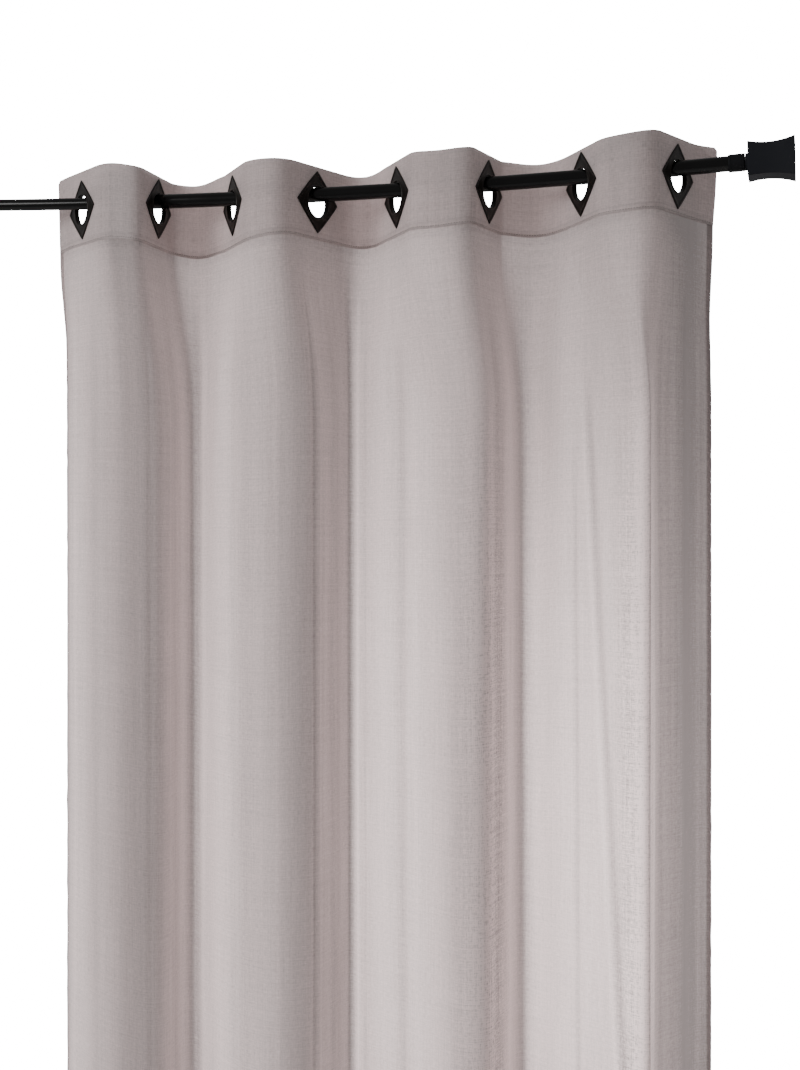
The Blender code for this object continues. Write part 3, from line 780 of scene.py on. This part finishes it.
def folded_ends(stations, hem_low, hem_high):
    """Stations with a hem turned back at one or both ends, and how far each lies behind.

    A hem runs from the fold, where it is part of the way back, to its cut edge.
    """
    nearly_back = 0.7
    flat_from = 0.002
    where = [stations]
    behind = [np.zeros_like(stations)]
    low, high = stations[0], stations[-1]
    if hem_low:
        steps = np.array([hem_low, hem_low / 2, flat_from, TURN_BACK])
        where.insert(0, low + steps)
        behind.insert(0, np.array([1.0, 1.0, 1.0, nearly_back]))
    if hem_high:
        steps = np.array([TURN_BACK, flat_from, hem_high / 2, hem_high])
        where.append(high - steps)
        behind.append(np.array([nearly_back, 1.0, 1.0, 1.0]))
    return np.concatenate(where), np.concatenate(behind)


def make_panel(finish):
    """The single cloth below the heading, with its side hems and bottom hem turned back.

    Its rows are spaced by a square law, closest at the heading, where the folds change most.
    """
    spread = np.linspace(0, 1, 124)
    length = CLOTH_DROP - HEADING_DROP + TUCK
    rows = HEADING_DROP - TUCK + length * (0.28 * spread + 0.72 * spread ** 2)
    drops, behind_rows = folded_ends(rows, 0, BOTTOM_HEM)
    columns = stations_across(88)
    across, behind_columns = folded_ends(columns, SIDE_HEM, SIDE_HEM)
    behind = HEM_GAP * behind_columns[None, :] + BOTTOM_HEM_GAP * behind_rows[:, None]
    points = np.zeros((len(drops), len(across), 3))
    order = np.argsort(across, kind="stable")
    points[:, order] = cloth_points(drops, across[order], behind[:, order])
    across_grid, drop_grid = np.broadcast_arrays(across[None, :], drops[:, None])
    panel = new_piece(
        "panel_cloth", points, grid_faces(len(drops), len(across)), finish,
        cloth_map=np.stack([across_grid, drop_grid], axis=-1),
        tones={
            "crease_and_painted_light": panel_tone(across_grid, drop_grid),
            "raked": raked_light(across_grid, drop_grid),
        })
    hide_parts("panel")


def round_top_corners(points, from_side, depth):
    """Lower the heading's top edge near its side edges by a circular arc, less further down."""
    inward = CORNER_RADIUS - np.clip(from_side, 0, CORNER_RADIUS)
    cut = CORNER_RADIUS - np.sqrt(np.clip(CORNER_RADIUS ** 2 - inward ** 2, 0, None))
    points[..., 2] -= cut[None, :] * np.clip(1 - depth[:, None] / CORNER_FADE, 0, 1)


def open_holes(points, across):
    """Say which of the heading's points fall into its holes, and shape the holes' edges.

    Points just inside a hole's radius are moved out to it along the cloth.
    """
    along = np.gradient(points[..., :2], axis=1)
    along /= np.sqrt((along ** 2).sum(axis=2, keepdims=True))
    hole = np.zeros(points.shape[:2], bool)
    for line_across, height in zip(LINES_ACROSS, EYELET_HEIGHTS):
        sideways = np.broadcast_to((across - line_across)[None, :], hole.shape)
        upward = points[..., 2] - height
        away = np.hypot(sideways, upward)
        inside = away < CLOTH_HOLE_RADIUS - HOLE_SNAP
        near_edge = (away < CLOTH_HOLE_RADIUS) & ~inside
        grow = np.where(near_edge, CLOTH_HOLE_RADIUS / np.maximum(away, 1e-6) - 1, 0)
        points[..., :2] += along * (sideways * grow)[..., None]
        points[..., 2] += upward * grow
        hole |= inside
    return hole


def make_heading(finish):
    """The doubled strip along the top, folded over its top edge, with the eyelet holes cut.

    Its half-thickness is a quarter circle over the last 3 mm at each side edge and pinches
    in at the row of stitches.
    """
    across = stations_across(52)
    rows_down = 36
    down = np.linspace(0, HEADING_DROP, rows_down + 1)
    turn = np.radians([-60, -30, 0, 30, 60])
    side = np.concatenate([np.full(rows_down, -1.0), np.sin(turn), np.full(rows_down, 1.0)])
    depth = np.concatenate([down[:0:-1], HALF_HEADING * (1 - np.cos(turn)), down[1:]])
    from_side = np.minimum(across, CLOTH_WIDTH - across)
    inward = np.clip(from_side / SIDE_ROUNDING, 0, 1)
    round_side = np.sqrt(np.clip(1 - (1 - inward) ** 2, 0, 1))
    from_seam = HEADING_DROP - SEAM_INSET - depth
    pinch = 1 - SEAM_PINCH * np.exp(-(from_seam / SEAM_BREADTH) ** 2)
    behind = side[:, None] * HALF_HEADING * pinch[:, None] * round_side[None, :]
    points = cloth_points(depth, across, behind)
    round_top_corners(points, from_side, depth)
    hole = open_holes(points, across)
    faces = grid_faces(*points.shape[:2], flip=True)
    faces = faces[~hole.reshape(-1)[faces].any(axis=1)]
    used, faces = np.unique(faces, return_inverse=True)
    across_grid, depth_grid = np.broadcast_arrays(across[None, :], depth[:, None])
    cloth_map = np.stack([across_grid, depth_grid], axis=-1)
    tone = heading_tone(across_grid, depth_grid)
    heading = new_piece(
        "heading_cloth", points.reshape(-1, 3)[used], faces.reshape(-1, 4), finish,
        cloth_map.reshape(-1, 2)[used], {"crease_and_painted_light": tone.ravel()[used]})
    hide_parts("heading")


def make_stitches(name, seam, stitch, finish):
    """One joined mesh of stitches, each a small spindle along its way on the cloth's face.

    A spindle is rings of five points, whose radius follows the root of half a sine from
    end to end.
    """
    centres, ways, fronts = seam
    rings = np.array([0.04, 0.35, 0.65, 0.96])
    sizes = stitch.radius * np.sin(math.pi * rings) ** 0.5
    turn = np.arange(5) * tau / 5
    third = np.cross(ways, fronts)
    shape = (len(centres), len(rings), len(turn), 3)
    reach = ((rings - 0.5) * stitch.length)[None, :, None, None]
    spine = centres[:, None, None] + ways[:, None, None] * reach
    ring = (
        fronts[:, None, None] * np.cos(turn)[None, None, :, None]
        + third[:, None, None] * np.sin(turn)[None, None, :, None]
    ) * sizes[None, :, None, None]
    points = np.broadcast_to(spine, shape) + ring
    one = grid_faces(len(rings), len(turn), wrap_columns=True, flip=True)
    shift = np.arange(len(centres))[:, None, None] * (len(rings) * len(turn))
    new_piece(name, points, (one[None] + shift).reshape(-1, 4), finish)


def level_normals(along):
    """Level unit vectors square to directions along the cloth, towards the room."""
    normals = np.cross(along, np.array([0.0, 0.0, 1.0]))
    return normals / np.linalg.norm(normals, axis=1, keepdims=True)


def seam_row(drop, pitch, behind):
    """Centres, ways and outward normals of a row of stitches across the cloth at one drop."""
    across = np.arange(STITCH_INSET, CLOTH_WIDTH - STITCH_INSET, pitch)
    back = np.full((1, len(across)), behind)
    centres = cloth_points([drop], across, back)[0]
    ways = cloth_points([drop], across + 0.001, back)[0] - centres
    ways /= np.linalg.norm(ways, axis=1, keepdims=True)
    return centres, ways, level_normals(ways)


def seam_column(across, pitch, behind):
    """Centres, ways and outward normals of a row of stitches down the cloth."""
    drops = np.arange(HEADING_DROP + STITCH_ENDS, CLOTH_DROP - STITCH_ENDS, pitch)
    pair = np.array([across, across + 0.001])
    points = cloth_points(drops, pair, np.full((len(drops), 2), behind))
    ways = np.tile([0.0, 0.0, -1.0], (len(drops), 1))
    return points[:, 0], ways, level_normals(points[:, 1] - points[:, 0])


def make_seams(thread):
    """Stitches along the heading's lower edge, the bottom hem and both side hems."""
    seam = seam_row(HEADING_DROP - SEAM_INSET, HEADING_STITCH.pitch, -PINCHED_HALF)
    make_stitches("heading_stitches", seam, HEADING_STITCH, thread)
    seam = seam_row(CLOTH_DROP - BOTTOM_HEM + SEAM_INSET, BOTTOM_STITCH.pitch, -STITCH_LIFT)
    make_stitches("bottom_hem_stitches", seam, BOTTOM_STITCH, thread)
    for side, across in SIDE_SEAMS:
        seam = seam_column(across, SIDE_STITCH.pitch, -STITCH_LIFT)
        make_stitches(f"{side}_hem_stitches", seam, SIDE_STITCH, thread)


# Eyelets


def eyelet_axes(number):
    """Centre of an eyelet, and its directions along the cloth, to its back and upwards."""
    line = FOLD_LINES[number]
    forward = -1 if number % 2 == 0 else 1
    angle = math.radians(forward * line.angle)
    along = np.array([math.cos(angle), math.sin(angle), 0])
    back = np.array([-math.sin(angle), math.cos(angle), 0])
    up = np.array([0.0, 0.0, 1.0])
    lean = math.radians(line.lean)
    centre = np.array([line.x, 0, EYELET_HEIGHTS[number]])
    leant_along = along * math.cos(lean) + up * math.sin(lean)
    leant_up = up * math.cos(lean) - along * math.sin(lean)
    return centre, leant_along, back, leant_up


def square_outline(turn, power):
    """Radius at each turn of the outline on which |x| and |y|, raised to a power, add up to 1.

    It is a square on its corner at 1, a circle at 2 and nearly a square at a high power.
    """
    return (np.abs(np.cos(turn)) ** power + np.abs(np.sin(turn)) ** power) ** (-1 / power)


def plate_points(number, profile, steps=96):
    """A profile carried round an eyelet. Each row is (squareness, size, depth).

    At squareness 0 the row is a circle of radius size, at 1 a square on its corner whose
    half-diagonal is size, and between them the two radii are mixed.
    """
    square, size, depth = np.array(profile).T
    turn = np.arange(steps) * tau / steps
    outline = square_outline(turn, PLATE_POWER)
    radius = size[:, None] * (1 + square[:, None] * (outline[None, :] - 1))
    centre, along, back, up = eyelet_axes(number)
    flat = radius[..., None] * (np.cos(turn)[:, None] * along + np.sin(turn)[:, None] * up)
    return centre + flat + depth[:, None, None] * back


def make_plate(name, node, number, profile, finish):
    """One plate of an eyelet: its profile, carried round the eyelet's centre."""
    points = plate_points(number, profile)
    faces = grid_faces(*points.shape[:2], wrap_rows=True, wrap_columns=True)
    plate = new_piece(name, points, faces, finish)
    plate.data.set_sharp_from_angle(angle=math.radians(28))
    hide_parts(node)


def make_eyelets(finish):
    """Front plates with a raised rim and a rolled collar, and plain plates behind."""
    bore = HOLE_RADIUS
    corner = PLATE_CORNER
    face = HALF_HEADING + SOLID_GAP
    front = -face - PLATE_THICKNESS
    lip = front - COLLAR_LIP
    back = face + BACK_PLATE_THICKNESS
    back_lip = back + COLLAR_LIP
    outer = bore + COLLAR_WALL
    front_profile = (
        (0, bore, back_lip - 0.0004), (0, bore, lip + 0.0009),
        (0, bore + 0.0002, lip + 0.0004), (0, bore + 0.0006, lip + 0.0001),
        (0, bore + 0.0011, lip), (0, bore + 0.0017, lip + 0.0001),
        (0, bore + 0.0022, lip + 0.0005), (0, bore + 0.0025, front + 0.0004),
        (0, bore + 0.0029, front + 0.0005), (0.5, bore + 0.0100, front + 0.0005),
        (1, corner - 0.0043, front + 0.0005), (1, corner - 0.0037, front + 0.0003),
        (1, corner - 0.0033, front), (1, corner - 0.0012, front),
        (1, corner - 0.0004, front + 0.0003), (1, corner, front + 0.0009),
        (1, corner, -face), (1, corner - 0.0004, -face),
        (0, outer, -face), (0, outer, back_lip - 0.0003), (0, outer - 0.0004, back_lip),
        (0, bore + 0.0004, back_lip),
    )
    back_profile = (
        (0, BACK_HOLE_RADIUS, face), (1, corner - 0.0003, face),
        (1, corner, face + 0.0002), (1, corner, back - 0.0005),
        (1, corner - 0.0006, back), (1, corner - 0.0030, back),
        (0, BACK_HOLE_RADIUS + 0.0012, back), (0, BACK_HOLE_RADIUS, back - 0.0003),
    )
    for number in range(8):
        place = number + 1
        make_plate(f"eyelet_plate_{place}", f"eyelet_front_{place}", number, front_profile, finish)
        make_plate(f"eyelet_washer_{place}", f"eyelet_back_{place}", number, back_profile, finish)


# Rod, collars and finials


def rod_axes(x, tilt=1.0):
    """Points on the rod's axis at x, and the directions along it and upwards across it."""
    x = np.atleast_1d(np.asarray(x, float))
    slope = tilt * 8 * ROD_SAG * x / SAG_SPAN ** 2
    along = np.stack([np.ones_like(x), np.zeros_like(x), slope], axis=1)
    along /= np.linalg.norm(along, axis=1, keepdims=True)
    across = np.stack([-along[:, 2], np.zeros_like(x), along[:, 0]], axis=1)
    place = np.stack([x, np.zeros_like(x), rod_height(x)], axis=1)
    return place, along, across


def ring_ways(across, turn):
    """Unit vectors round the rod, from upwards across it at turn 0 towards the room."""
    to_room = np.array([0, -1.0, 0])
    return np.cos(turn)[:, None] * across[:, None] + np.sin(turn)[:, None] * to_room


def make_tube(name, node, stations, finish, steps=72):
    """A tube round the sagging rod. Each station is (x, radius); the list runs round the wall."""
    x, radius = np.array(stations).T
    place, _, across = rod_axes(x)
    turn = np.arange(steps) * tau / steps
    points = place[:, None] + radius[:, None, None] * ring_ways(across, turn)
    faces = grid_faces(len(x), steps, wrap_columns=True)
    tube = new_piece(name, points, faces, finish, close_poles=True)
    tube.data.set_sharp_from_angle(angle=math.radians(40))
    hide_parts(node)


def make_rod(finish):
    """The thick tube with its open left end and the thin tube that slides into it."""
    right = ROD_RIGHT + COLLAR_LENGTH
    bore = INNER_TUBE_RADIUS + SOLID_GAP
    wall = [(x, OUTER_TUBE_RADIUS) for x in np.linspace(right - 0.0002, JOINT_X + 0.0008, 46)]
    outer = [(right, 0), (right, OUTER_TUBE_RADIUS - 0.0003), *wall]
    outer += [(JOINT_X + 0.0002, OUTER_TUBE_RADIUS - 0.0003), (JOINT_X, OUTER_TUBE_RADIUS - 0.0006)]
    outer += [(JOINT_X, bore), (JOINT_X + TUBE_LAP, bore), (JOINT_X + TUBE_LAP, 0)]
    make_tube("rod_thick_tube", "rod_outer_tube", outer, finish)
    left = ROD_LEFT - COLLAR_LENGTH
    end = JOINT_X + TUBE_LAP - SOLID_GAP
    thin = [(x, INNER_TUBE_RADIUS) for x in np.linspace(end - 0.0003, left + 0.0003, 20)]
    make_tube("rod_thin_tube", "rod_inner_tube", [(end, 0), *thin, (left, 0)], finish)


def make_collar(name, node, x, outward, bore, finish, steps=72):
    """A ring on the rod's end, with a shallow groove near each rim."""
    full = COLLAR_RADIUS
    groove = COLLAR_RADIUS - 0.0003
    rim = COLLAR_RADIUS - 0.0008
    end = COLLAR_LENGTH
    profile = (
        (0, bore), (0, rim), (0.0003, groove), (0.0009, full),
        (0.0030, full), (0.0033, groove), (0.0037, groove), (0.0040, full),
        (end - 0.0040, full), (end - 0.0037, groove), (end - 0.0033, groove), (end - 0.0030, full),
        (end - 0.0009, full), (end - 0.0003, groove), (end, rim), (end, bore),
    )
    reach, radius = np.array(profile).T
    place, along, across = rod_axes(x)
    ring = ring_ways(across, np.arange(steps) * tau / steps)
    points = place + (outward * reach)[:, None, None] * along + radius[:, None, None] * ring
    faces = grid_faces(len(reach), steps, wrap_rows=True, wrap_columns=True, flip=outward > 0)
    collar = new_piece(name, points, faces, finish)
    collar.data.set_sharp_from_angle(angle=math.radians(40))
    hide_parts(node)


def finial_half(share):
    """Half-height at a share of the way out: square laws down to the waist and up from it."""
    before = np.clip(1 - share / FINIAL_WAIST_AT, 0, 1)
    after = np.clip((share - FINIAL_WAIST_AT) / (1 - FINIAL_WAIST_AT), 0, 1)
    inner = (FINIAL_INNER_HALF - FINIAL_WAIST_HALF) * before ** 2
    outer = (FINIAL_OUTER_HALF - FINIAL_WAIST_HALF) * after ** 2
    return FINIAL_WAIST_HALF + inner + outer


def make_finial(name, node, x, outward, finish, steps=160):
    """A square block with hollow sides on a round neck, its edges slightly eased.

    Rows run outwards. Each is a ring whose radius goes from a circle, at squareness 0, to a
    square with rounded corners, at 1.
    """
    share = np.linspace(0, 1, 25)
    side_half = finial_half(share)
    start = NECK_LENGTH
    end = NECK_LENGTH + FINIAL_LENGTH
    side_reach = start + np.clip(share * FINIAL_LENGTH, FINIAL_EASE, FINIAL_LENGTH - FINIAL_EASE)
    first = side_half[0]
    last = side_half[-1]
    rows = [
        (0, 0.0, FINIAL_GAP), (0, NECK_RADIUS, FINIAL_GAP),
        (0, NECK_RADIUS, start), (0.6, FINIAL_FACE_RING, start),
        (1, first - FINIAL_EASE, start), (1, first - FINIAL_CHAMFER, start + FINIAL_CHAMFER),
    ]
    rows += [(1, half, reach) for half, reach in zip(side_half, side_reach)]
    rows += [
        (1, last - FINIAL_CHAMFER, end - FINIAL_CHAMFER), (1, last - FINIAL_EASE, end),
        (0.6, FINIAL_FACE_RING, end), (0, FINIAL_FACE_CENTRE, end), (0, 0.0, end),
    ]
    square, half, reach = np.array(rows).T
    turn = (np.arange(steps) + 0.5) * tau / steps
    outline = square_outline(turn, FINIAL_POWER)
    radius = half[:, None] * (1 + square[:, None] * (outline[None, :] - 1))
    place, _, _ = rod_axes(x)
    _, along, across = rod_axes(x, FINIAL_TILT)
    ring = ring_ways(across, turn)
    points = place + (outward * reach)[:, None, None] * along + radius[..., None] * ring
    faces = grid_faces(len(reach), steps, wrap_columns=True, flip=outward > 0)
    finial = new_piece(name, points, faces, finish, close_poles=True)
    finial.data.set_sharp_from_angle(angle=math.radians(50))
    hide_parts(node)


def make_rod_ends(collar_finish, finial_finish):
    """A collar and a finial at each end of the rod. The collars fit the tubes they are on."""
    ends = (("right", ROD_RIGHT, 1, OUTER_TUBE_RADIUS), ("left", ROD_LEFT, -1, INNER_TUBE_RADIUS))
    for side, x, outward, tube_radius in ends:
        bore = tube_radius + SOLID_GAP
        make_collar(f"{side}_collar", f"collar_{side}", x, outward, bore, collar_finish)
        beyond = x + outward * COLLAR_LENGTH
        make_finial(f"{side}_finial", f"finial_{side}", beyond, outward, finial_finish)


# The scene


def make_floor():
    """A pale round floor below the hem."""
    steps = 96
    rings = np.array([0.0, 0.8, 1.6, 2.4, 3.0])[:, None]
    turn = np.arange(steps) * tau / steps
    height = -CLOTH_DROP + TOP_MARGIN - FLOOR_BELOW_HEM
    level = np.full((len(rings), steps), height)
    points = np.stack([rings * np.cos(turn), rings * np.sin(turn), level], axis=-1)
    faces = grid_faces(len(rings), steps, wrap_columns=True)
    mesh = bpy.data.meshes.new("floor")
    mesh.from_pydata(points.reshape(-1, 3).tolist(), [], faces.tolist())
    finish = Finish("floor_white")
    mesh.materials.append(finish.output(finish.node("ShaderNodeBsdfPrincipled", None, {
        "Base Color": colour((0.9, 0.9, 0.9)), "Roughness": 0.9,
    })))
    floor = bpy.data.objects.new("floor", mesh)
    bpy.context.scene.collection.objects.link(floor)


def add_light(name, lamp, place, target):
    """A lamp at a place, turned to face its target."""
    light = bpy.data.objects.new(name, lamp)
    light.location = place
    aim = Vector(target) - Vector(place)
    light.rotation_euler = aim.to_track_quat("-Z", "Y").to_euler()
    bpy.context.scene.collection.objects.link(light)


def soft_light(name, place, target, size, power):
    """A round, evenly bright area of light."""
    lamp = bpy.data.lights.new(name, "AREA")
    lamp.shape = "DISK"
    lamp.size = size
    lamp.energy = power
    add_light(name, lamp, place, target)


def back_light(name, place, target, size, power, cone, blend):
    """A soft cone of slightly warm light from behind, which shines through the cloth."""
    lamp = bpy.data.lights.new(name, "SPOT")
    lamp.color = (1.0, 0.965, 0.96)
    lamp.shadow_soft_size = size
    lamp.energy = power
    lamp.spot_size = math.radians(cone)
    lamp.spot_blend = blend
    add_light(name, lamp, place, target)


def make_lights():
    """A soft light in front at the left and three behind at the right.

    Two of those light the panel, and the cone of the third is kept to the heading.
    """
    soft_light("key", (-2.4, -2.6, 0.7), (0, 0, -0.5), size=1.6, power=70)
    back_light(
        "near_back", (0.85, 0.72, -0.80), (0, 0, -1.15), size=0.26, power=107, cone=110, blend=0.6)
    back_light(
        "far_back", (1.0, 1.9, -1.0), (0, 0, -1.25), size=0.5, power=290, cone=88, blend=0.7)
    back_light(
        "upper_back", (1.0, 2.4, 0.05), (-0.1, 0, 0.14), size=0.2, power=240, cone=19, blend=1.0)


def make_world(backdrop, fill):
    """White where the camera looks past the curtain, and a dimmer even fill for the light."""
    world = bpy.data.worlds.new("studio")
    bpy.context.scene.world = world
    world.use_nodes = True
    studio = Wiring(world.node_tree)
    seen = studio.node("ShaderNodeBackground", None, {
        "Color": colour((1.0, 1.0, 1.0)), "Strength": backdrop,
    })
    lit = studio.node("ShaderNodeBackground", None, {
        "Color": colour((1.0, 0.99, 0.985)), "Strength": fill,
    })
    path = studio.node("ShaderNodeLightPath").outputs
    direct = studio.node("ShaderNodeMath", {"operation": "SUBTRACT", "use_clamp": True}, {
        0: path["Is Camera Ray"], 1: path["Transparent Depth"],
    })
    mix = studio.node("ShaderNodeMixShader", None, {
        0: direct.outputs[0], 1: lit.outputs[0], 2: seen.outputs[0],
    })
    studio.node("ShaderNodeOutputWorld", None, {0: mix.outputs[0]})


def make_camera():
    """The photo's view: level, from the right of the curtain's middle."""
    data = bpy.data.cameras.new("photo_view")
    data.lens = CAMERA_LENS
    data.sensor_width = CAMERA_SENSOR
    camera = bpy.data.objects.new("photo_view", data)
    camera.location = CAMERA_PLACE
    camera.rotation_euler = (math.radians(90), 0, math.radians(CAMERA_TURN))
    bpy.context.scene.collection.objects.link(camera)
    bpy.context.scene.camera = camera


panel_finish = cloth_finish("sheer_linen_look", (0.60, 0.512, 0.503), see_through=0.10)
heading_finish = cloth_finish("heading_linen_look", (0.64, 0.565, 0.557), see_through=0.0)
# The thread is darker than the cloth partly as painted shade: the heading's row of stitches also
# draws the dark shadow line along the heading's lower edge.
seam_thread_painted_shade = thread_finish("seam_thread_painted_shade", (0.30, 0.255, 0.245))
rod_finish = metal_finish(
    "rod_black_gloss", (0.002, 0.002, 0.002), (0.004, 0.004, 0.004),
    roughness=0.18, shine=0.18, grain=900, depth=0.00002)
plate_finish = metal_finish(
    "plate_brown_black", (0.004, 0.003, 0.0025), (0.012, 0.009, 0.007),
    roughness=0.40, shine=0.2, grain=1400, depth=0.0001, metallic=0.3)
finial_finish = metal_finish(
    "finial_charcoal", (0.015, 0.0155, 0.0185), (0.023, 0.024, 0.028),
    roughness=0.85, shine=0.02, grain=1100, depth=0.0004)
collar_finish = metal_finish(
    "collar_satin_black", (0.005, 0.0052, 0.006), (0.010, 0.0104, 0.012),
    roughness=0.6, shine=0.1, grain=900, depth=0.0001)

make_camera()
make_world(backdrop=18.0, fill=0.40)
make_lights()
make_floor()
make_panel(panel_finish)
make_heading(heading_finish)
make_seams(seam_thread_painted_shade)
make_eyelets(plate_finish)
make_rod(rod_finish)
make_rod_ends(collar_finish, finial_finish)
